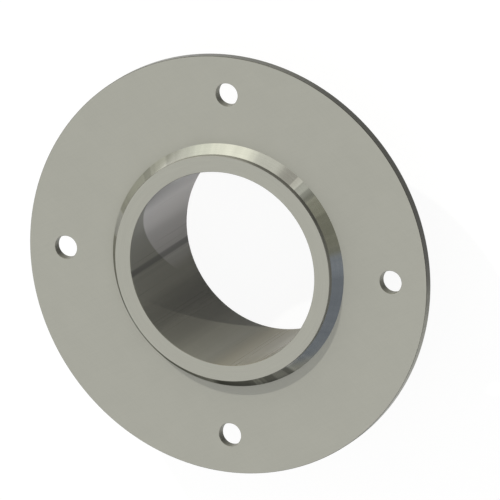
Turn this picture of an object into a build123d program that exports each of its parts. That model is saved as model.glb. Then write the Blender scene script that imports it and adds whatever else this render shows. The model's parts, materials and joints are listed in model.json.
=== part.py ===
from build123d import *
import os

# Cable transit flange: a steel sleeve that carries cables through a wall, with a round bolting plate
# welded around it near its front end. The sleeve stands a little proud of the plate's front face, and
# one fillet weld runs around that corner. The plate's rear face is clear, because it seats on the wall.
#
# Millimetres. The origin lies on the bore's axis in the plate's rear face. +Z runs along the bore to the
# front, and +X and +Y run through bolt holes.

# Sleeve
bore_diameter = 102.0
sleeve_wall = 8.5
tail_length = 60.0
stub_height = 8.0

# Flange plate
plate_thickness = 5.0
flange_width = 50.5
bolt_edge_distance = 20.0
bolt_hole_diameter = 12.0
bolt_count = 4

# Fillet weld between the plate's front face and the sleeve
weld_leg_on_plate = 4.5
weld_leg_on_sleeve = 5.0

# Fits and edges
fit_up_clearance = 0.25
edge_break = 0.2

# Sizes that follow from the ones above
bore_radius = bore_diameter / 2
sleeve_radius = bore_radius + sleeve_wall
sleeve_length = tail_length + plate_thickness + stub_height
plate_radius = sleeve_radius + flange_width
plate_opening_radius = sleeve_radius + fit_up_clearance
bolt_circle_radius = plate_radius - bolt_edge_distance

# The flange plate is a flat ring, slipped over the sleeve with a small fit-up clearance.
with BuildPart() as flange_plate:
    with BuildSketch(Plane.XY):
        Circle(plate_radius)
        Circle(plate_opening_radius, mode=Mode.SUBTRACT)
        with PolarLocations(bolt_circle_radius, bolt_count):
            Circle(bolt_hole_diameter / 2, mode=Mode.SUBTRACT)
    extrude(amount=plate_thickness)
    chamfer(flange_plate.edges().filter_by(GeomType.CIRCLE), length=edge_break)

# The sleeve is a plain thick tube, from the end of the tail to the end of the stub.
with BuildPart() as sleeve:
    with BuildSketch(Plane.XY.offset(-tail_length)):
        Circle(sleeve_radius)
        Circle(bore_radius, mode=Mode.SUBTRACT)
    extrude(amount=sleeve_length)
    chamfer(sleeve.edges().filter_by(GeomType.CIRCLE), length=edge_break)

# The weld has a flat face between its two toes, one on the plate and one on the sleeve.
with BuildPart() as fillet_weld:
    with BuildSketch(Plane.XZ):
        with BuildLine():
            Polyline(
                (sleeve_radius, plate_thickness),
                (sleeve_radius + weld_leg_on_plate, plate_thickness),
                (sleeve_radius, plate_thickness + weld_leg_on_sleeve),
                close=True,
            )
        make_face()
    revolve(axis=Axis.Z)

# One STEP file for each piece
flange_plate.part.label = "flange_plate"
sleeve.part.label = "sleeve"
fillet_weld.part.label = "fillet_weld"

os.makedirs("parts", exist_ok=True)
export_step(flange_plate.part, "parts/flange_plate.step")
export_step(sleeve.part, "parts/sleeve.step")
export_step(fillet_weld.part, "parts/fillet_weld.step")
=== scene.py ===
"""Looks of a cable transit flange: a ground plate, a drawn steel sleeve and the bright weld between them.

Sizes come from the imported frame, apart from the edge break and the fit-up clearance, which it doesn't give.
Lengths are in metres, and angles are in degrees until they are used.
"""
import json
import logging
import math
from dataclasses import dataclass
from enum import Enum
from typing import Any, Sequence, Union

import bmesh
import bpy
import numpy as np
from mathutils import Matrix, Vector


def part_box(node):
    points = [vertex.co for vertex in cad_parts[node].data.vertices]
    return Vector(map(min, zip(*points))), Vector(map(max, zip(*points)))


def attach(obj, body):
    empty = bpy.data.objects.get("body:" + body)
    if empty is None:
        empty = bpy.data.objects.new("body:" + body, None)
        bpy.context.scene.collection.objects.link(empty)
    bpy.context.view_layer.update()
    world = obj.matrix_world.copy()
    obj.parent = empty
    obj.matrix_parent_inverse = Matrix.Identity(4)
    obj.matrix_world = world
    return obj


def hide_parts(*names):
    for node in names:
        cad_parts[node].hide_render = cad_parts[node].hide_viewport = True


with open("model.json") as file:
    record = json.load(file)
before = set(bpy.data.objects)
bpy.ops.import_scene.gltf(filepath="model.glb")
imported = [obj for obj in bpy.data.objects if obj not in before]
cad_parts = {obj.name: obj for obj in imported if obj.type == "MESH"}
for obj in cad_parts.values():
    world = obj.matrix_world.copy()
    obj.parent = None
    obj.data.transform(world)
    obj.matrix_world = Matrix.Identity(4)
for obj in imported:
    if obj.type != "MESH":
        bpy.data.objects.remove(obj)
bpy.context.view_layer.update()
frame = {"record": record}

MM = 0.001
PICTURE_PX = 500
BODY = "root"

# Sizes that the frame doesn't give: the break of each edge, and the gap between the plate and the sleeve
EDGE_BREAK = 0.2 * MM
FIT_UP_CLEARANCE = 0.25 * MM

# Points of a piece closer than this are one point, and edges that turn by more degrees than this are crisp
MERGE_DISTANCE = 0.002 * MM
CRISP_ANGLE = 25.0

# The flat map of each piece's surfaces, for baking its finishes onto, and the space around each pattern on it
MAP_NAME = "OFBake"
MAP_GUTTER = 1 / 128

# Noise runs from 0 to 1 about this mean
NOISE_MEAN = 0.5
WHITE = (1.0, 1.0, 1.0)

Socket = bpy.types.NodeSocket
Number = Union["Value", float]
Colour = tuple[float, float, float]

log = logging.getLogger("flange")


def mount(name: str) -> dict[str, Any]:
    """One of the record's mounts, by its name."""
    return next(m for m in frame["record"]["mounts"] if m["name"] == name)


BOLT_CIRCLE_RADIUS = mount("bolts")["dims"]["pcd_mm"] / 2 * MM


def direction(turn: float, lift: float = 0.0) -> tuple[float, float, float]:
    """The direction of length 1 at a turn about the upright and a lift above the level, both in degrees."""
    across, up = math.cos(math.radians(lift)), math.sin(math.radians(lift))
    return math.cos(math.radians(turn)) * across, math.sin(math.radians(turn)) * across, up


# Shader maths

class Value:
    """A number on a shader socket, so that shader maths is written as Python expressions."""

    def __init__(self, graph: "Graph", socket: Socket) -> None:
        """Keeps the graph that new nodes go into, and the socket that holds the number."""
        self.graph = graph
        self.socket = socket

    def __add__(self, other: Number) -> "Value":
        """self + other."""
        return self.graph.math("ADD", self, other)

    def __sub__(self, other: Number) -> "Value":
        """self - other."""
        return self.graph.math("SUBTRACT", self, other)

    def __mul__(self, other: Number) -> "Value":
        """self * other."""
        return self.graph.math("MULTIPLY", self, other)

    def __truediv__(self, other: Number) -> "Value":
        """self / other."""
        return self.graph.math("DIVIDE", self, other)

    def __radd__(self, other: Number) -> "Value":
        """other + self."""
        return self.graph.math("ADD", other, self)

    def __rsub__(self, other: Number) -> "Value":
        """other - self."""
        return self.graph.math("SUBTRACT", other, self)

    def __rmul__(self, other: Number) -> "Value":
        """other * self."""
        return self.graph.math("MULTIPLY", other, self)


class Graph:
    """The node tree of one material or world, with one method that makes any node."""

    def __init__(self, tree: bpy.types.NodeTree) -> None:
        """Takes a node tree to build in, and empties it."""
        self.tree = tree
        tree.nodes.clear()

    def node(self, kind: str, settings: dict[str, Any] | None = None, **inputs: Any) -> bpy.types.Node:
        """Makes a node, sets its settings, then its sockets.

        Args:
            kind: The node's type, such as ShaderNodeMath.
            settings: Properties of the node, such as its operation. A ramp's stops are under "stops".
            inputs: The sockets' values or links, by name with _ for a space, or by in0, in1 for a number.

        Returns:
            The node.
        """
        made = self.tree.nodes.new(kind)
        for name, value in (settings or {}).items():
            if name == "stops":
                self._set_stops(made.color_ramp, value)
            else:
                setattr(made, name, value)
        for name, value in inputs.items():
            key = int(name[2:]) if name[:2] == "in" and name[2:].isdigit() else name.replace("_", " ")
            self.connect(value, made.inputs[key])
        return made

    def connect(self, value: Any, socket: Socket) -> None:
        """Links a value or a socket to a socket, or sets the socket to a plain number or colour.

        Args:
            value: The value, the socket, the number or the colour.
            socket: The socket that gets it.
        """
        if isinstance(value, Value):
            self.tree.links.new(value.socket, socket)
        elif isinstance(value, Socket):
            self.tree.links.new(value, socket)
        elif isinstance(value, (tuple, list)) and socket.type == "RGBA":
            socket.default_value = (*value, 1.0)
        else:
            socket.default_value = value

    def _set_stops(self, ramp: bpy.types.ColorRamp, stops: Sequence[tuple[float, Colour]]) -> None:
        """Gives a ramp its stops.

        Args:
            ramp: The ramp.
            stops: The stops, each a place from 0 to 1 and a colour.
        """
        while len(ramp.elements) > 1:
            ramp.elements.remove(ramp.elements[-1])
        ramp.elements[0].position, ramp.elements[0].color = stops[0][0], (*stops[0][1], 1.0)
        for place, colour in stops[1:]:
            ramp.elements.new(place).color = (*colour, 1.0)

    def math(self, operation: str, *terms: Number) -> Value:
        """The result of a Math node, from its operation and its one to three terms."""
        inputs = {f"in{i}": term for i, term in enumerate(terms)}
        return Value(self, self.node("ShaderNodeMath", {"operation": operation}, **inputs).outputs[0])

    def vector_math(self, operation: str, *terms: Any, result: str = "Vector") -> Socket:
        """One result of a Vector Math node, from its operation and its one or two terms."""
        inputs = {f"in{i}": term for i, term in enumerate(terms)}
        return self.node("ShaderNodeVectorMath", {"operation": operation}, **inputs).outputs[result]

    def dot(self, vector: Socket, way: Sequence[float]) -> Value:
        """How far a vector reaches along a fixed direction."""
        return Value(self, self.vector_math("DOT_PRODUCT", vector, tuple(way), result="Value"))

    def height(self, vector: Socket) -> Value:
        """How far a vector reaches upwards."""
        return self.dot(vector, (0, 0, 1))

    def scaled(self, vector: Socket, factors: Sequence[float]) -> Socket:
        """A vector with each of its parts multiplied by its own factor."""
        return self.vector_math("MULTIPLY", vector, tuple(factors))

    def level(self, vector: Socket) -> Socket:
        """A vector without its height."""
        return self.scaled(vector, (1, 1, 0))

    def outward(self, place: Socket) -> Socket:
        """The level direction from the bore's axis to a place, of length 1."""
        return self.vector_math("NORMALIZE", self.level(place))

    def grain(self, place: Socket, turn: float, length: float, width: float) -> Value:
        """Noise drawn out along one level direction.

        Args:
            place: The place on the object.
            turn: The direction, in degrees.
            length: How far the noise runs along it.
            width: How wide it is across it.

        Returns:
            The noise, from 0 to 1.
        """
        spin, stretch = (0.0, 0.0, math.radians(turn)), (length, width, length)
        settings = {"vector_type": "TEXTURE"}
        made = self.node("ShaderNodeMapping", settings, Vector=place, Rotation=spin, Scale=stretch)
        return self.noise(made.outputs["Vector"], detail=3.0)

    def rings(self, place: Socket, pitch: float, drift: float = 3.0) -> Value:
        """Noise in fine rings about the bore's axis, which change slowly around the turn.

        Args:
            place: The place on the object.
            pitch: The rings' spacing.
            drift: How fast they change around the turn.

        Returns:
            The noise, from 0 to 1.
        """
        radius = Value(self, self.vector_math("LENGTH", self.level(place), result="Value"))
        outward = self.outward(place)
        x, y = self.dot(outward, (drift, 0, 0)), self.dot(outward, (0, drift, 0))
        made = self.node("ShaderNodeCombineXYZ", None, X=radius / pitch, Y=x, Z=y)
        return self.noise(made.outputs["Vector"])

    def noise(self, vector: Socket, scale: float = 1.0, detail: float = 2.0) -> Value:
        """Smooth noise from 0 to 1."""
        made = self.node("ShaderNodeTexNoise", None, Vector=vector, Scale=scale, Detail=detail)
        return Value(self, made.outputs["Fac"])

    def near_turn(self, outward: Socket, mark: "Mark") -> Value:
        """A mark's strength, which is 1 near its turn about the axis and 0 well off it.

        Args:
            outward: The level direction from the axis to the place.
            mark: The mark.

        Returns:
            The strength, from 0 to 1.
        """
        half = math.radians(mark.half_width)
        reach = self.dot(outward, direction(mark.turn))
        return self.ramp(reach, math.cos(half * mark.softness), math.cos(half))

    def ramp(self, value: Value, low: float, high: float) -> Value:
        """A smooth step.

        Args:
            value: The value that it follows.
            low: Where it is 0.
            high: Where it is 1.

        Returns:
            The step, from 0 to 1.
        """
        settings = {"interpolation_type": "SMOOTHSTEP"}
        made = self.node("ShaderNodeMapRange", settings, Value=value, From_Min=low, From_Max=high)
        return Value(self, made.outputs["Result"])

    def mix(self, factor: Number, first: Any, second: Any, blend: str = "MIX") -> Socket:
        """Blends two colours by a factor from 0 to 1. They go to the node's sockets 6 and 7."""
        settings = {"data_type": "RGBA", "blend_type": blend}
        return self.node("ShaderNodeMix", settings, Factor=factor, in6=first, in7=second).outputs[2]


# Finishes

@dataclass(frozen=True)
class Mark:
    """One stretch of a round surface, at a turn about its axis, where painted light or painted shade makes it
    differ a little from the rest.

    It is full within half_width of its turn, and fades out at softness times half_width. tone makes the
    colour lighter, as a painted highlight, or darker, as painted shade. warmth, a painted warm cast, is taken
    from its blue, and half of it is added to its red.
    """

    turn: float
    half_width: float
    tone: float
    softness: float = 1.6
    warmth: float = 0.0


@dataclass(frozen=True)
class Finish:
    """What all steel finishes share: a Principled shader whose values vary a little over the surface.

    A tone that runs from 0 to 1 makes the colour darker and lighter by the share contrast, which is reached
    at the ends of tone_range, and the surface smoother and rougher. depth is the depth of the relief.
    """

    name: str
    colour: Colour
    metallic: float
    roughness: float
    specular: float = 0.5
    edge_tint: Colour = WHITE
    marks: tuple[Mark, ...] = ()
    contrast: float = 0.03
    tone_range: tuple[float, float] = (0.3, 0.7)
    roughness_swing: float = 0.16
    depth: float = 0.002 * MM

    def material(self) -> bpy.types.Material:
        """Makes the material.

        Returns:
            The finished material.
        """
        made = bpy.data.materials.new(self.name)
        made.use_nodes = True
        graph = Graph(made.node_tree)
        place = graph.node("ShaderNodeTexCoord").outputs["Object"]
        shader = graph.node("ShaderNodeBsdfPrincipled", None, Base_Color=self.colour, Metallic=self.metallic,
                            Roughness=self.roughness, Specular_IOR_Level=self.specular,
                            Specular_Tint=self.edge_tint)
        self.dress(graph, place, shader)
        graph.node("ShaderNodeOutputMaterial", None, Surface=shader.outputs[0])
        return made

    def dress(self, graph: Graph, place: Socket, shader: bpy.types.Node) -> None:
        """Adds a finish's own detail to the shader. Each finish has its own way."""
        raise NotImplementedError

    def shade(self, factor: float) -> Colour:
        """The finish's colour made lighter or darker."""
        return tuple(min(1.0, part * factor) for part in self.colour)

    def toned(self, graph: Graph, tone: Value) -> Socket:
        """The finish's colour, made lighter and darker by a tone."""
        dark, light = self.shade(1 - self.contrast), self.shade(1 + self.contrast)
        return graph.mix(graph.ramp(tone, *self.tone_range), dark, light)

    def roughen(self, graph: Graph, shader: bpy.types.Node, tone: Value, height: Value, depth: float) -> None:
        """Varies the roughness by a tone, and gives the surface a relief.

        Args:
            graph: The material's graph.
            shader: The shader that is dressed.
            tone: The tone.
            height: The relief's height.
            depth: How deep a height of 1 is.
        """
        graph.connect(self.roughness + (tone - NOISE_MEAN) * self.roughness_swing, shader.inputs["Roughness"])
        bump = graph.node("ShaderNodeBump", None, Height=height, Distance=depth, Strength=1.0)
        graph.connect(bump.outputs[0], shader.inputs["Normal"])

    def outward(self, graph: Graph, place: Socket) -> Socket:
        """The level direction that the turns of marks are measured by: the one from the bore's axis."""
        return graph.outward(place)

    def marked(self, graph: Graph, place: Socket, colour: Socket | Colour,
               marks: Sequence[Mark]) -> Socket | Colour:
        """Lays marks of painted highlights and shade over a colour.

        Args:
            graph: The material's graph.
            place: The place on the object.
            colour: The colour under the marks.
            marks: The marks.

        Returns:
            The colour with the marks.
        """
        outward = self.outward(graph, place)
        for mark in marks:
            near = graph.near_turn(outward, mark)
            green = 1.0 + (mark.tone - 1.0) * near
            red, blue = green + mark.warmth / 2 * near, green - mark.warmth * near
            factors = graph.node("ShaderNodeCombineColor", None, Red=red, Green=green, Blue=blue).outputs[0]
            colour = graph.mix(1.0, colour, factors, "MULTIPLY")
        return colour


@dataclass(frozen=True)
class GroundFace(Finish):
    """Flat ground steel: fine crossing scratches with faint cloudy areas between them."""

    grain_turns: tuple[float, float] = (27.0, -41.0)
    grain_length: float = 11 * MM
    grain_width: float = 0.35 * MM
    grain_share: float = 0.7
    cloud_size: float = 14 * MM

    def dress(self, graph: Graph, place: Socket, shader: bpy.types.Node) -> None:
        """Adds the scratches and the clouds.

        Args:
            graph: The material's graph.
            place: The place on the object.
            shader: The shader that is dressed.
        """
        first, second = (graph.grain(place, t, self.grain_length, self.grain_width) for t in self.grain_turns)
        grain = (first + second) / 2
        clouds = graph.noise(place, 1 / self.cloud_size)
        tone = grain * self.grain_share + clouds * (1 - self.grain_share)
        graph.connect(self.toned(graph, tone), shader.inputs["Base Color"])
        self.roughen(graph, shader, tone, grain, self.depth)


@dataclass(frozen=True)
class FacedEnd(Finish):
    """A flat tube end faced on a lathe: fine rings about the bore's axis."""

    pitch: float = 0.35 * MM

    def dress(self, graph: Graph, place: Socket, shader: bpy.types.Node) -> None:
        """Adds the rings.

        Args:
            graph: The material's graph.
            place: The place on the object.
            shader: The shader that is dressed.
        """
        rings = graph.rings(place, self.pitch)
        graph.connect(self.toned(graph, rings), shader.inputs["Base Color"])
        self.roughen(graph, shader, rings, rings, self.depth)


@dataclass(frozen=True)
class DrawnWall(Finish):
    """An upright wall with long faint lines that run along the bore's axis, in a fine and a coarse set.

    There are coarse_across coarse lines to each fine one across the wall, and coarse_along along it.
    """

    contrast: float = 0.05
    tone_range: tuple[float, float] = (0.35, 0.65)
    roughness_swing: float = 0.12
    depth: float = 0.0012 * MM
    line_width: float = 0.8 * MM
    line_length: float = 160 * MM
    fine_share: float = 0.45
    coarse_across: float = 0.12
    coarse_along: float = 0.3

    def dress(self, graph: Graph, place: Socket, shader: bpy.types.Node) -> None:
        """Adds the lines, and what lies over them.

        Args:
            graph: The material's graph.
            place: The place on the object.
            shader: The shader that is dressed.
        """
        width, length = self.line_width, self.line_length
        across, along = self.coarse_across / width, self.coarse_along / length
        fine = graph.noise(graph.scaled(place, (1 / width, 1 / width, 1 / length)))
        coarse = graph.noise(graph.scaled(place, (across, across, along)), detail=1.0)
        tone = fine * self.fine_share + coarse * (1 - self.fine_share)
        colour = self.layered(graph, place, self.toned(graph, tone))
        # The marks lay painted highlights and shade over the wall
        graph.connect(self.marked(graph, place, colour, self.marks), shader.inputs["Base Color"])
        self.roughen(graph, shader, tone, fine, self.depth)

    def layered(self, graph: Graph, place: Socket, colour: Socket) -> Socket:
        """Lays what covers the drawn steel over its colour. Plain walls have nothing there."""
        return colour


@dataclass(frozen=True)
class PaintedLightBoreWall(DrawnWall):
    """A bore's wall with a painted pool of light: the steel below a slanting line is painted pale, as a lamp
    shining in through the bore's far end would light it.

    The line is where the wall meets a flat surface, whose height is the edge's height plus its slope times
    the reach towards its turn.
    """

    # pale is the painted light's colour, strongest near pale_side; pale_marks lay painted highlights and
    # shade on it
    pale: Colour = (0.505, 0.49, 0.487)
    pale_side: Mark = Mark(160.0, 8.0, 1.0, 5.5)
    pale_marks: tuple[Mark, ...] = (Mark(181.5, 4.0, 0.8, 3.5),)
    # Where the painted light's edge lies on the wall: its turn, height, slope and softness
    tide_turn: float = 121.6
    tide_height: float = -50.3 * MM
    tide_slope: float = 1.33
    tide_softness: float = 0.8 * MM

    def layered(self, graph: Graph, place: Socket, colour: Socket) -> Socket:
        """Adds the painted light below the line, strongest on one side of the bore.

        Args:
            graph: The material's graph.
            place: The place on the object.
            colour: The drawn steel's colour.

        Returns:
            The colour with the painted light.
        """
        # Painted light: the wall is painted pale below a slanting line
        surface = graph.dot(place, [part * self.tide_slope for part in direction(self.tide_turn)])
        sunk = surface + self.tide_height - graph.height(place)
        below = graph.ramp(sunk, -self.tide_softness, self.tide_softness)
        side = graph.near_turn(graph.outward(place), self.pale_side)
        return graph.mix(below * side, colour, self.marked(graph, place, self.pale, self.pale_marks))


@dataclass(frozen=True)
class BoltHoleWall(DrawnWall):
    """The wall of a bolt hole, with its marks of painted highlights and shade at turns about the hole's own
    axis.

    The holes lie on the X and Y axes, so their centres are on a square grid whose pitch is the bolt circle's
    radius: centre = pitch x floor(place / pitch + 1/2).
    """

    pitch: float = BOLT_CIRCLE_RADIUS

    def outward(self, graph: Graph, place: Socket) -> Socket:
        """The level direction from the nearest hole's axis to a place, of length 1.

        Args:
            graph: The material's graph.
            place: The place on the object.

        Returns:
            The direction.
        """
        half, whole = (self.pitch / 2,) * 3, (self.pitch,) * 3
        centre = graph.vector_math("SNAP", graph.vector_math("ADD", place, half), whole)
        return graph.outward(graph.vector_math("SUBTRACT", place, centre))


@dataclass(frozen=True)
class HeatTintAndShadeWall(DrawnWall):
    """A tube wall darkened beside the plate by heat tint and painted shade. The dark band's lower edge
    wanders.
    """

    # tint is the colour of heat tint and painted shade; its marks are painted highlights and shade around the
    # tube
    tint: Colour = (0.135, 0.133, 0.118)
    tint_marks: tuple[Mark, ...] = (
        Mark(101.0, 9.0, 2.25, 3.6), Mark(340.6, 12.0, 1.7, 4.2), Mark(36.6, 2.0, 0.72, 5.0),
    )
    clear_height: float = -14 * MM
    dark_height: float = -2 * MM
    wander_length: float = 12 * MM
    wander_height: float = 6 * MM

    def heat(self, graph: Graph, place: Socket) -> Value:
        """How dark the band of heat tint and painted shade is at a place, from 0 to 1."""
        wander = (graph.noise(place, 1 / self.wander_length) - NOISE_MEAN) * self.wander_height
        return graph.ramp(graph.height(place) + wander, self.clear_height, self.dark_height)

    def dress(self, graph: Graph, place: Socket, shader: bpy.types.Node) -> None:
        """Makes the band of heat tint and painted shade duller as well as darker."""
        super().dress(graph, place, shader)
        graph.connect(self.metallic * (1 - self.heat(graph, place)), shader.inputs["Metallic"])

    def layered(self, graph: Graph, place: Socket, colour: Socket) -> Socket:
        """Adds the dark band of heat tint and painted shade, made uneven around the tube by painted
        highlights and shade.
        """
        # Heat tint with painted shade: a dark band beside the plate, made lighter and darker around the tube
        # by painted marks
        tint = self.marked(graph, place, self.tint, self.tint_marks)
        return graph.mix(self.heat(graph, place), colour, tint)


@dataclass(frozen=True)
class DressedWeld(Finish):
    """Weld metal ground to one smooth bright face, with a faint wave and fine lines around the ring."""

    contrast: float = 0.06
    roughness_swing: float = 0.1
    depth: float = 0.03 * MM
    waves: float = 14.0
    wave_share: float = 0.6
    line_pitch: float = 0.4 * MM
    line_depth: float = 0.0015 * MM

    def dress(self, graph: Graph, place: Socket, shader: bpy.types.Node) -> None:
        """Adds the wave, which is the same all the way up the slope, the lines and the marks, which are
        painted reflections.

        Args:
            graph: The material's graph.
            place: The place on the object.
            shader: The shader that is dressed.
        """
        wave = graph.noise(graph.outward(place), self.waves, detail=1.0)
        lines = graph.rings(place, self.line_pitch)
        colour = self.toned(graph, wave * self.wave_share + lines * (1 - self.wave_share))
        graph.connect(self.marked(graph, place, colour, self.marks), shader.inputs["Base Color"])
        height = wave * self.depth + lines * self.line_depth
        self.roughen(graph, shader, wave, height, depth=1.0)


# Colours that two finishes share
GROUND_STEEL = (0.40, 0.40, 0.36)
SMOOTH_STEEL = (0.191, 0.189, 0.160)


class Steel(Enum):
    """The finishes that this object has."""

    PLATE_FACE = GroundFace("plate_face", GROUND_STEEL, 0.25, 0.5)
    SLEEVE_END = FacedEnd("sleeve_end", GROUND_STEEL, 0.25, 0.5)
    # The cut edge's dark colour is partly the cut steel's own and partly painted shade; its marks are painted
    # shade at one turn and painted highlights at three others
    CUT_EDGE = DrawnWall("cut_edge", (0.092, 0.091, 0.074), 0.3, 0.28, specular=0.14,
                         marks=(Mark(30.0, 25.0, 0.55, 1.8), Mark(336.0, 12.0, 2.6, 2.2),
                                Mark(1.0, 3.0, 1.35, 2.2), Mark(112.0, 5.0, 1.3, 2.4)),
                         line_width=0.5 * MM, line_length=40 * MM)
    # The bore's marks are painted reflections and shade around its wall, one of them with a painted warm cast
    BORE_WALL = PaintedLightBoreWall("bore_wall", SMOOTH_STEEL, 0.0, 0.28, specular=0.05, contrast=0.016,
                               marks=(Mark(189.5, 0.6, 0.48, 4.0), Mark(194.6, 0.6, 0.94, 2.4),
                                      Mark(137.0, 8.0, 0.7, 2.2), Mark(156.5, 5.5, 1.37, 3.0),
                                      Mark(180.0, 6.0, 1.18, 2.1), Mark(199.5, 6.0, 1.13, 1.6),
                                      Mark(217.6, 6.0, 0.83, 1.5), Mark(226.6, 8.0, 0.85, 1.8),
                                      Mark(250.5, 6.0, 1.1, 1.5), Mark(275.0, 4.0, 1.13, 2.6),
                                      Mark(283.0, 12.0, 1.0, 2.2, 0.11), Mark(291.0, 3.0, 1.16, 2.5)),
                               line_width=1.2 * MM, roughness_swing=0.06, depth=0.0006 * MM)
    # The holes' marks are painted shade at one turn about each hole and painted highlights on either side of
    # it
    HOLE_WALL = BoltHoleWall("hole_wall", SMOOTH_STEEL, 0.0, 0.28, specular=0.05, contrast=0.016,
                             marks=(Mark(218.6, 10.0, 0.75, 2.8), Mark(218.6, 3.0, 0.78, 3.3),
                                    Mark(155.6, 15.0, 1.65, 2.1), Mark(290.6, 12.0, 1.25, 2.25)),
                             line_width=0.5 * MM, line_length=40 * MM, depth=0.0006 * MM)
    # The sleeve's outside: drawn steel with a band of heat tint and painted shade beside the plate
    SLEEVE_WALL = HeatTintAndShadeWall("sleeve_wall", (0.30, 0.30, 0.28), 0.8, 0.38, specular=0.3)
    # The weld's marks are painted reflections: lighter and darker stretches around the ring
    WELD = DressedWeld("weld_metal", (0.62, 0.62, 0.57), 1.0, 0.16, edge_tint=(0.15, 0.15, 0.15),
                       marks=(Mark(125.6, 2.2, 1.32, 2.0), Mark(134.6, 1.5, 0.78, 2.0),
                              Mark(147.0, 13.0, 1.26), Mark(165.0, 4.5, 1.6), Mark(183.0, 13.0, 1.25),
                              Mark(275.6, 9.0, 0.42), Mark(285.6, 0.9, 2.1, 2.4), Mark(292.4, 2.0, 0.66),
                              Mark(294.5, 8.5, 0.6, 1.35), Mark(302.8, 1.2, 0.7), Mark(310.0, 3.0, 0.86),
                              Mark(6.0, 2.6, 1.2, 2.6), Mark(36.4, 3.5, 1.28), Mark(42.8, 1.8, 0.76),
                              Mark(50.6, 1.2, 1.5)))

    def material(self) -> bpy.types.Material:
        """The finish's material, made once."""
        return bpy.data.materials.get(self.value.name) or self.value.material()


# Surfaces

@dataclass
class Surface:
    """A grid of points, in metres, with the finish of its faces and its flat pattern.

    points has the shape (rows, columns, 3). A face's first edge runs along a row and its second goes to the
    next row, so its outside is where row direction x column direction points. flat has the shape (rows,
    columns, 2), and says where each point lies when the surface is laid flat with its outside up.
    """

    points: np.ndarray
    flat: np.ndarray
    finish: Steel

    @classmethod
    def turned(cls, profile: np.ndarray, arc: np.ndarray, finish: Steel,
               centre: Sequence[float] = (0.0, 0.0)) -> "Surface":
        """Turns a profile about an upright axis.

        Point (i, j) is (x + r_i cos a_j, y + r_i sin a_j, z_i), for the axis at (x, y), profile point
        (r_i, z_i) and angle a_j. Laid flat it is (R a_j, s_i), for the largest radius R and the length s_i
        along the profile.

        Args:
            profile: Radii and heights, of shape (rows, 2).
            arc: The angles, in radians.
            finish: The surface's finish.
            centre: Where the axis stands.

        Returns:
            The surface.
        """
        radius, height = profile[:, :1], profile[:, 1:]
        x = centre[0] + radius * np.cos(arc)
        y = centre[1] + radius * np.sin(arc)
        points = np.stack([x, y, np.broadcast_to(height, x.shape)], axis=2)
        steps = np.linalg.norm(np.diff(profile, axis=0), axis=1)
        length = np.concatenate([[0.0], np.cumsum(steps)])
        flat = np.stack(np.meshgrid(arc * radius.max(), length), axis=2)
        return cls(points, flat, finish)

    def faces(self) -> np.ndarray:
        """The grid's faces, as four point numbers each.

        Returns:
            An array of shape (faces, 4).
        """
        rows, columns = self.points.shape[:2]
        number = np.arange(rows * columns).reshape(rows, columns)
        corners = (number[:-1, :-1], number[:-1, 1:], number[1:, 1:], number[1:, :-1])
        return np.stack([c.ravel() for c in corners], axis=1)


def arcs(count: int, steps: int) -> list[np.ndarray]:
    """A full turn as so many equal arcs, each given by its angles in radians, with both ends."""
    angles = np.linspace(0.0, 2 * math.pi, count * steps + 1)
    return [angles[k * steps:(k + 1) * steps + 1] for k in range(count)]


def map_places(rows: Sequence[Sequence[Surface]]) -> np.ndarray:
    """Lays flat patterns out in rows on a square map, with a gutter round each.

    The patterns of a row share the map's width by their own widths, and the rows share its height by theirs.

    Args:
        rows: The surfaces, row by row.

    Returns:
        The place on the map, from 0 to 1, of each point of each surface, of shape (points, 2).
    """
    heights = np.array([max(np.ptp(surface.flat[..., 1]) for surface in row) for row in rows])
    heights *= (1 - MAP_GUTTER * (len(rows) + 1)) / heights.sum()
    places, bottom = [], MAP_GUTTER
    for row, height in zip(rows, heights):
        widths = np.array([np.ptp(surface.flat[..., 0]) for surface in row])
        widths *= (1 - MAP_GUTTER * (len(row) + 1)) / widths.sum()
        left = MAP_GUTTER
        for surface, width in zip(row, widths):
            flat = surface.flat.reshape(-1, 2)
            share = (flat - flat.min(axis=0)) / np.ptp(flat, axis=0)
            places.append(share * (width, height) + (left, bottom))
            left += width + MAP_GUTTER
        bottom += height + MAP_GUTTER
    return np.concatenate(places)


def between(first: Sequence[float], last: Sequence[float], steps: int) -> np.ndarray:
    """Points on the straight line from first to last, both included."""
    share = np.linspace(0.0, 1.0, steps + 1)[:, None]
    return (1 - share) * np.asarray(first, float) + share * np.asarray(last, float)


def polar(radius: np.ndarray | float, angle: np.ndarray | float) -> np.ndarray:
    """Level points at radii and angles about the bore's axis, of shape (points, 2)."""
    return np.stack([radius * np.cos(angle), radius * np.sin(angle)], axis=1)


def wall_profile(radius: float, ends: Sequence[float], cut: float, side: int, steps: int = 1) -> np.ndarray:
    """The profile of an upright wall with a break at its two edges.

    Args:
        radius: The wall's radius.
        ends: The heights of its lower and its upper end.
        cut: The size of its breaks.
        side: 1 where the steel lies outside the wall, as in a hole, and -1 where it lies inside, as at a rim.
        steps: How many steps it takes from break to break.

    Returns:
        Radii and heights, which run so that the wall faces away from the steel.
    """
    low, high = ends
    edge = radius + cut * side
    flank = between((radius, high - cut), (radius, low + cut), steps)
    return np.vstack([(edge, high), flank, (edge, low)])[::side]


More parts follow.
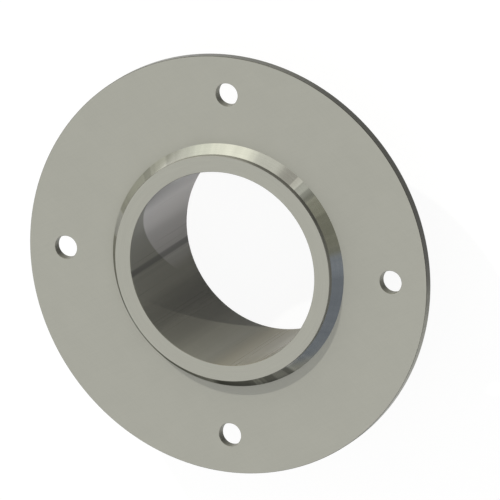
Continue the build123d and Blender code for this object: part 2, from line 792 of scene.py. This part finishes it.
def make_piece(name: str, rows: Sequence[Sequence[Surface]], replaced: str) -> bpy.types.Object:
    """Joins surfaces into one closed mesh that stands for a CAD node.

    Args:
        name: The piece's name.
        rows: Its surfaces, whose edges meet, in the rows in which they lie on its map.
        replaced: The CAD node that the piece stands for.

    Returns:
        The finished piece.
    """
    surfaces = [surface for row in rows for surface in row]
    finishes = list(dict.fromkeys(surface.finish for surface in surfaces))
    starts = np.cumsum([0] + [surface.points[..., 0].size for surface in surfaces])
    points = np.concatenate([surface.points.reshape(-1, 3) for surface in surfaces])
    faces = np.concatenate([surface.faces() + start for surface, start in zip(surfaces, starts)])
    kinds = np.concatenate([np.full(len(s.faces()), finishes.index(s.finish), np.int32) for s in surfaces])
    mesh = bpy.data.meshes.new(name)
    mesh.from_pydata(points.tolist(), [], faces.tolist())
    for finish in finishes:
        mesh.materials.append(finish.material())
    mesh.polygons.foreach_set("material_index", kinds)
    mesh.uv_layers.new(name=MAP_NAME).uv.foreach_set("vector", map_places(rows)[faces].ravel())
    work = bmesh.new()
    work.from_mesh(mesh)
    bmesh.ops.remove_doubles(work, verts=work.verts, dist=MERGE_DISTANCE)
    work.to_mesh(mesh)
    work.free()
    mesh.shade_smooth()
    mesh.set_sharp_from_angle(angle=math.radians(CRISP_ANGLE))
    piece = bpy.data.objects.new(name, mesh)
    bpy.context.scene.collection.objects.link(piece)
    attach(piece, BODY)
    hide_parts(replaced)
    log.info("%s: %d faces, finishes %s", name, len(mesh.polygons), [f.value.name for f in finishes])
    return piece


# Sub-assemblies

@dataclass
class Sleeve:
    """The thick tube: bright machined ends, a dark bore with painted light and shade, and an outside darkened
    beside the plate by heat tint and painted shade.
    """

    outer_radius: float
    bore_radius: float
    bottom: float
    top: float
    edge_break: float = EDGE_BREAK
    half_steps: int = 180
    wall_steps: int = 16

    @classmethod
    def from_frame(cls) -> "Sleeve":
        """Reads the sleeve's sizes from its CAD node and the bore mount."""
        low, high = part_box("sleeve")
        return cls(high.x, mount("bore")["dims"]["r_mm"] * MM, low.z, high.z)

    def wall(self, radius: float, side: int) -> np.ndarray:
        """The profile of one of the sleeve's walls, with the steel on the given side of it."""
        return wall_profile(radius, (self.bottom, self.top), self.edge_break, side, self.wall_steps)

    def build(self) -> bpy.types.Object:
        """Makes the piece: one closed profile turned about the bore's axis.

        Returns:
            The finished piece.
        """
        outside, inside = self.wall(self.outer_radius, -1), self.wall(self.bore_radius, 1)
        front, rear = np.array([outside[-1], inside[0]]), np.array([inside[-1], outside[0]])
        profiles = (
            (outside, Steel.SLEEVE_WALL), (front, Steel.SLEEVE_END), (inside, Steel.BORE_WALL),
            (rear, Steel.SLEEVE_END),
        )
        halves = arcs(2, self.half_steps)
        rows = [[Surface.turned(profile, half, finish)] for profile, finish in profiles for half in halves]
        return make_piece("steel_sleeve", rows, "sleeve")


@dataclass
class FlangePlate:
    """The flat ring with its bolt holes: ground faces, cut edges darkened partly by painted shade, and smooth
    walls in the holes with painted highlights and shade.
    """

    radius: float
    opening_radius: float
    bottom: float
    top: float
    hole_radius: float
    hole_count: int
    bolt_circle_radius: float = BOLT_CIRCLE_RADIUS
    edge_break: float = EDGE_BREAK
    arc_steps: int = 90
    side_steps: int = 16
    face_steps: int = 10
    # The power by which a face's steps grow away from the hole
    face_growth: float = 1.5

    @classmethod
    def from_frame(cls) -> "FlangePlate":
        """Reads the plate's sizes from its CAD node, the sleeve's node and the bolt pattern.

        Returns:
            The plate.
        """
        low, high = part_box("flange_plate")
        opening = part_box("sleeve")[1].x + FIT_UP_CLEARANCE
        bolts = mount("bolts")["dims"]
        return cls(high.x, opening, low.z, high.z, bolts["hole_r_mm"] * MM, bolts["count"])

    def arc(self, turn: float) -> np.ndarray:
        """The angles, in radians, at which the sector about one bolt hole has points on the rim."""
        half = math.pi / self.hole_count
        return np.linspace(turn - half, turn + half, self.arc_steps + 1)

    def sector_outline(self, turn: float) -> np.ndarray:
        """The outline of one sector of a face, about one bolt hole.

        It runs anticlockwise: out along the sector's first side, around the rim, in along its second side and
        back around the opening.

        Args:
            turn: The angle of the hole, in radians.

        Returns:
            Points of shape (count, 2), with the first one again at the end.
        """
        inner, outer = self.opening_radius + self.edge_break, self.radius - self.edge_break
        radii = np.linspace(inner, outer, self.side_steps + 1)
        arc = self.arc(turn)
        out, back = polar(radii, arc[0]), polar(radii[::-1], arc[-1])
        rim, opening = polar(outer, arc), polar(inner, arc[::-1])
        return np.concatenate([out[:-1], rim[:-1], back[:-1], opening])

    def sector(self, turn: float) -> tuple[Surface, ...]:
        """The surfaces about one bolt hole: both faces, the rim, the opening's wall and the hole's wall.

        A face's point (i, j) lies the share s_i of the way from the hole's edge to outline point j, on the
        line from the hole's centre through that point. Laid flat it is (R a, r), for its radius r, the
        plate's radius R and the angle a from the hole, with the other sign of r in front, where the outside
        looks the other way.

        Args:
            turn: The angle of the hole, in radians.

        Returns:
            The front face, the rear face, the rim, the opening's wall and the hole's wall.
        """
        cos, sin = math.cos(turn), math.sin(turn)
        centre = np.array([cos, sin]) * self.bolt_circle_radius
        outline = self.sector_outline(turn)
        ray = outline - centre
        inner = self.hole_radius + self.edge_break
        edge = centre + inner * ray / np.linalg.norm(ray, axis=1, keepdims=True)
        share = (np.linspace(0.0, 1.0, self.face_steps + 1) ** self.face_growth)[:, None, None]
        spot = (1 - share) * edge + share * outline
        front, rear = (np.dstack([spot, np.full(spot.shape[:2], z)]) for z in (self.top, self.bottom))
        x, y = spot[..., 0], spot[..., 1]
        along = self.radius * np.arctan2(y * cos - x * sin, x * cos + y * sin)
        radius = np.linalg.norm(spot, axis=2)
        arc, hole_arc = self.arc(turn), np.unwrap(np.arctan2(ray[:, 1], ray[:, 0]))
        return (
            Surface(front[::-1], np.dstack([along, -radius])[::-1], Steel.PLATE_FACE),
            Surface(rear, np.dstack([along, radius]), Steel.PLATE_FACE),
            Surface.turned(self.wall(self.radius, -1), arc, Steel.CUT_EDGE),
            Surface.turned(self.wall(self.opening_radius, 1), arc, Steel.CUT_EDGE),
            Surface.turned(self.wall(self.hole_radius, 1), hole_arc, Steel.HOLE_WALL, centre),
        )

    def wall(self, radius: float, side: int) -> np.ndarray:
        """The profile of one of the plate's walls, with the steel on the given side of it."""
        return wall_profile(radius, (self.bottom, self.top), self.edge_break, side)

    def build(self) -> bpy.types.Object:
        """Makes the piece: one sector about each hole.

        Returns:
            The finished piece.
        """
        turns = 2 * math.pi * np.arange(self.hole_count) / self.hole_count
        front, rear, rim, opening, holes = zip(*(self.sector(turn) for turn in turns))
        half = self.hole_count // 2
        rows = [part for kind in (front, rear, rim) for part in (kind[:half], kind[half:])]
        return make_piece("ground_flange_plate", [*rows, opening, holes], "flange_plate")


@dataclass
class FilletWeld:
    """The ring of weld metal in the corner, dressed to one flat slope."""

    sleeve_radius: float
    toe_radius: float
    bottom: float
    top: float
    quarter_steps: int = 180
    slope_steps: int = 8

    @classmethod
    def from_frame(cls) -> "FilletWeld":
        """Reads the weld's sizes from its CAD node and the sleeve's."""
        low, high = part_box("fillet_weld")
        return cls(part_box("sleeve")[1].x, high.x, low.z, high.z)

    def build(self) -> bpy.types.Object:
        """Makes the piece: a triangle turned about the bore's axis.

        Returns:
            The finished piece.
        """
        inner, toe = self.sleeve_radius, self.toe_radius
        slope = between((toe, self.bottom), (inner, self.top), self.slope_steps)
        seat = np.array([(inner, self.top), (inner, self.bottom), (toe, self.bottom)])
        quarters = arcs(4, self.quarter_steps)
        slopes = [[Surface.turned(slope, arc, Steel.WELD)] for arc in quarters]
        seats = [Surface.turned(seat, arc, Steel.WELD) for arc in quarters]
        return make_piece("dressed_weld", [*slopes, seats], "fillet_weld")


# Studio

@dataclass
class Studio:
    """A pale floor, soft light all round, one key light, and a camera at the photograph's angle."""

    # The camera stands at this azimuth and elevation about the object, and is rolled about its line of sight
    azimuth: float = 125.56
    elevation: float = 61.95
    roll: float = 122.83
    # Where the plate's front centre lies in the picture, and how many pixels a metre takes
    centre_px: tuple[float, float] = (228.36, 264.74)
    px_per_metre: float = 1962.9
    # The nearest and the farthest that the camera sees
    clip: tuple[float, float] = (0.01, 100.0)
    # The floor's size and own grey, and, where it is seen, its glow and its answer to light
    floor_size: float = 2.0
    floor_grey: float = 0.8
    floor_glow: float = 0.92
    floor_cover: float = 0.11
    key_turn: float = 112.6
    key_height: float = 39.2
    key_strength: float = 1.40
    key_colour: Colour = (1.0, 0.98, 0.90)
    key_spread: float = 0.9
    # Below this drop in a length of 1 the room is as pale as the floor, so that no edge of the floor shows,
    # with a blend just below it
    skirting: float = 0.12
    skirting_blend: float = 0.02
    # The ceiling takes over from the walls between these two heights, in degrees
    ceiling_edge: tuple[float, float] = (28.0, 42.0)
    # It brightens towards a bank of lamps at this azimuth, between these two reaches towards the bank
    bank_turn: float = 335.0
    bank_reach: tuple[float, float] = (-0.5, 0.8)
    ceiling_dim: Colour = (0.62, 0.62, 0.6)
    ceiling_bright: Colour = (1.28, 1.28, 1.28)

    def camera(self, front_centre: Vector) -> bpy.types.Object:
        """Makes the camera, which sees with parallel rays as the photograph does, from a metre away.

        Args:
            front_centre: The centre of the plate's front face.

        Returns:
            The camera.
        """
        turn, lift = math.radians(self.azimuth), math.radians(self.elevation)
        back = Vector((math.sin(turn) * math.cos(lift), -math.cos(turn) * math.cos(lift), math.sin(lift)))
        level = Vector((math.cos(turn), math.sin(turn), 0.0))
        rolled = Matrix.Rotation(-math.radians(self.roll), 3, back)
        right = rolled @ level
        up = back.cross(right)
        middle = PICTURE_PX / 2
        aim = front_centre + right * (middle - self.centre_px[0]) / self.px_per_metre
        aim += up * (self.centre_px[1] - middle) / self.px_per_metre
        data = bpy.data.cameras.new("camera")
        data.type = "ORTHO"
        data.ortho_scale = PICTURE_PX / self.px_per_metre
        data.clip_start, data.clip_end = self.clip
        made = bpy.data.objects.new("camera", data)
        turn_matrix = Matrix((right, up, back)).transposed()
        made.matrix_world = Matrix.Translation(aim + back) @ turn_matrix.to_4x4()
        bpy.context.scene.collection.objects.link(made)
        bpy.context.scene.camera = made
        return made

    def key_light(self) -> bpy.types.Object:
        """Makes the key light: a far lamp with crisp shadows, left out of reflections so that nothing glints.

        Returns:
            The key light.
        """
        data = bpy.data.lights.new("key", "SUN")
        data.energy = self.key_strength
        data.color = self.key_colour
        data.angle = math.radians(self.key_spread)
        made = bpy.data.objects.new("key", data)
        made.rotation_mode = "QUATERNION"
        made.rotation_quaternion = Vector(direction(self.key_turn, self.key_height)).to_track_quat("Z", "Y")
        made.visible_glossy = False
        bpy.context.scene.collection.objects.link(made)
        return made

    def floor(self, height: float) -> bpy.types.Object:
        """Makes the pale floor. The camera and reflections see it lit from within, and its shadows stay.

        Args:
            height: Where the object stands.

        Returns:
            The floor.
        """
        half = self.floor_size / 2
        corners = [(-half, -half, height), (half, -half, height), (half, half, height), (-half, half, height)]
        mesh = bpy.data.meshes.new("floor")
        mesh.from_pydata(corners, [], [(0, 1, 2, 3)])
        paint = bpy.data.materials.new("floor_paint")
        paint.use_nodes = True
        graph = Graph(paint.node_tree)
        path = graph.node("ShaderNodeLightPath").outputs
        kinds = ("Camera", "Glossy", "Transmission")
        camera, glossy, through = (Value(graph, path[f"Is {kind} Ray"]) for kind in kinds)
        seen = graph.math("MAXIMUM", graph.math("MAXIMUM", camera, glossy), through)
        plain = graph.node("ShaderNodeBsdfDiffuse", None, Color=(self.floor_grey,) * 3)
        cover = graph.node("ShaderNodeBsdfDiffuse", None, Color=(self.floor_cover,) * 3)
        glow = graph.node("ShaderNodeEmission", None, Color=WHITE, Strength=self.floor_glow)
        bright = graph.node("ShaderNodeAddShader", None, in0=cover.outputs[0], in1=glow.outputs[0])
        both = graph.node("ShaderNodeMixShader", None, in0=seen, in1=plain.outputs[0], in2=bright.outputs[0])
        graph.node("ShaderNodeOutputMaterial", None, Surface=both.outputs[0])
        mesh.materials.append(paint)
        made = bpy.data.objects.new("floor", mesh)
        bpy.context.scene.collection.objects.link(made)
        return made

    def world(self) -> None:
        """Lights the studio: a bright ceiling, and a wide window between plainer stretches of wall."""
        sky = bpy.data.worlds.new("studio")
        sky.use_nodes = True
        bpy.context.scene.world = sky
        graph = Graph(sky.node_tree)
        way = graph.node("ShaderNodeTexCoord").outputs["Generated"]
        height = graph.height(way)
        turn = graph.math("ARCTAN2", graph.dot(way, (0, 1, 0)), graph.dot(way, (1, 0, 0)))
        share = graph.math("FRACT", turn / (2 * math.pi) + 1.0)
        walls = graph.node("ShaderNodeValToRGB", {"stops": self.wall_stops()}, Fac=share)
        ceiling = graph.ramp(height, *(math.sin(math.radians(edge)) for edge in self.ceiling_edge))
        bank = graph.ramp(graph.dot(way, direction(self.bank_turn)), *self.bank_reach)
        above = graph.mix(bank, self.ceiling_dim, self.ceiling_bright)
        light = graph.mix(ceiling, walls.outputs["Color"], above)
        upward = graph.ramp(height, -self.skirting - self.skirting_blend, -self.skirting)
        ground = graph.node("ShaderNodeBackground", None, Color=graph.mix(upward, WHITE, light), Strength=1.0)
        graph.node("ShaderNodeOutputWorld", None, Surface=ground.outputs[0])

    def wall_stops(self) -> list[tuple[float, Colour]]:
        """The walls' colours around the room, each at the azimuth where it is reached.

        Returns:
            The stops: azimuths as shares of a turn, and colours.
        """
        cream, straw, pale, stone = (1.2, 1.2, 1.08), (0.98, 1.0, 0.9), (0.76, 0.76, 0.71), (0.66, 0.66, 0.6)
        strip, grey, dim = (0.62, 0.63, 0.59), (0.45, 0.44, 0.41), (0.3, 0.3, 0.28)
        olive, cool = (0.22, 0.22, 0.18), (0.19, 0.21, 0.25)
        places = (
            (0.0, olive), (44.0, olive), (50.0, strip), (54.0, strip), (58.0, grey), (68.0, grey),
            (76.0, pale), (90.0, pale), (97.0, cream), (114.0, cream), (130.0, straw), (142.0, pale),
            (190.0, stone), (240.0, dim), (275.0, cool), (350.0, cool),
        )
        return [(azimuth / 360, colour) for azimuth, colour in places]


def main() -> None:
    """Builds the pieces, then the studio around them."""
    logging.basicConfig(level=logging.INFO, format="%(name)s: %(message)s")
    bpy.context.scene.view_settings.view_transform = "Standard"
    plate, sleeve, weld = FlangePlate.from_frame(), Sleeve.from_frame(), FilletWeld.from_frame()
    for part in (plate, sleeve, weld):
        part.build()
    studio = Studio()
    studio.camera(Vector((0.0, 0.0, plate.top)))
    studio.key_light()
    studio.floor(sleeve.bottom)
    studio.world()
    log.info("studio ready")


if __name__ == "__main__":
    main()
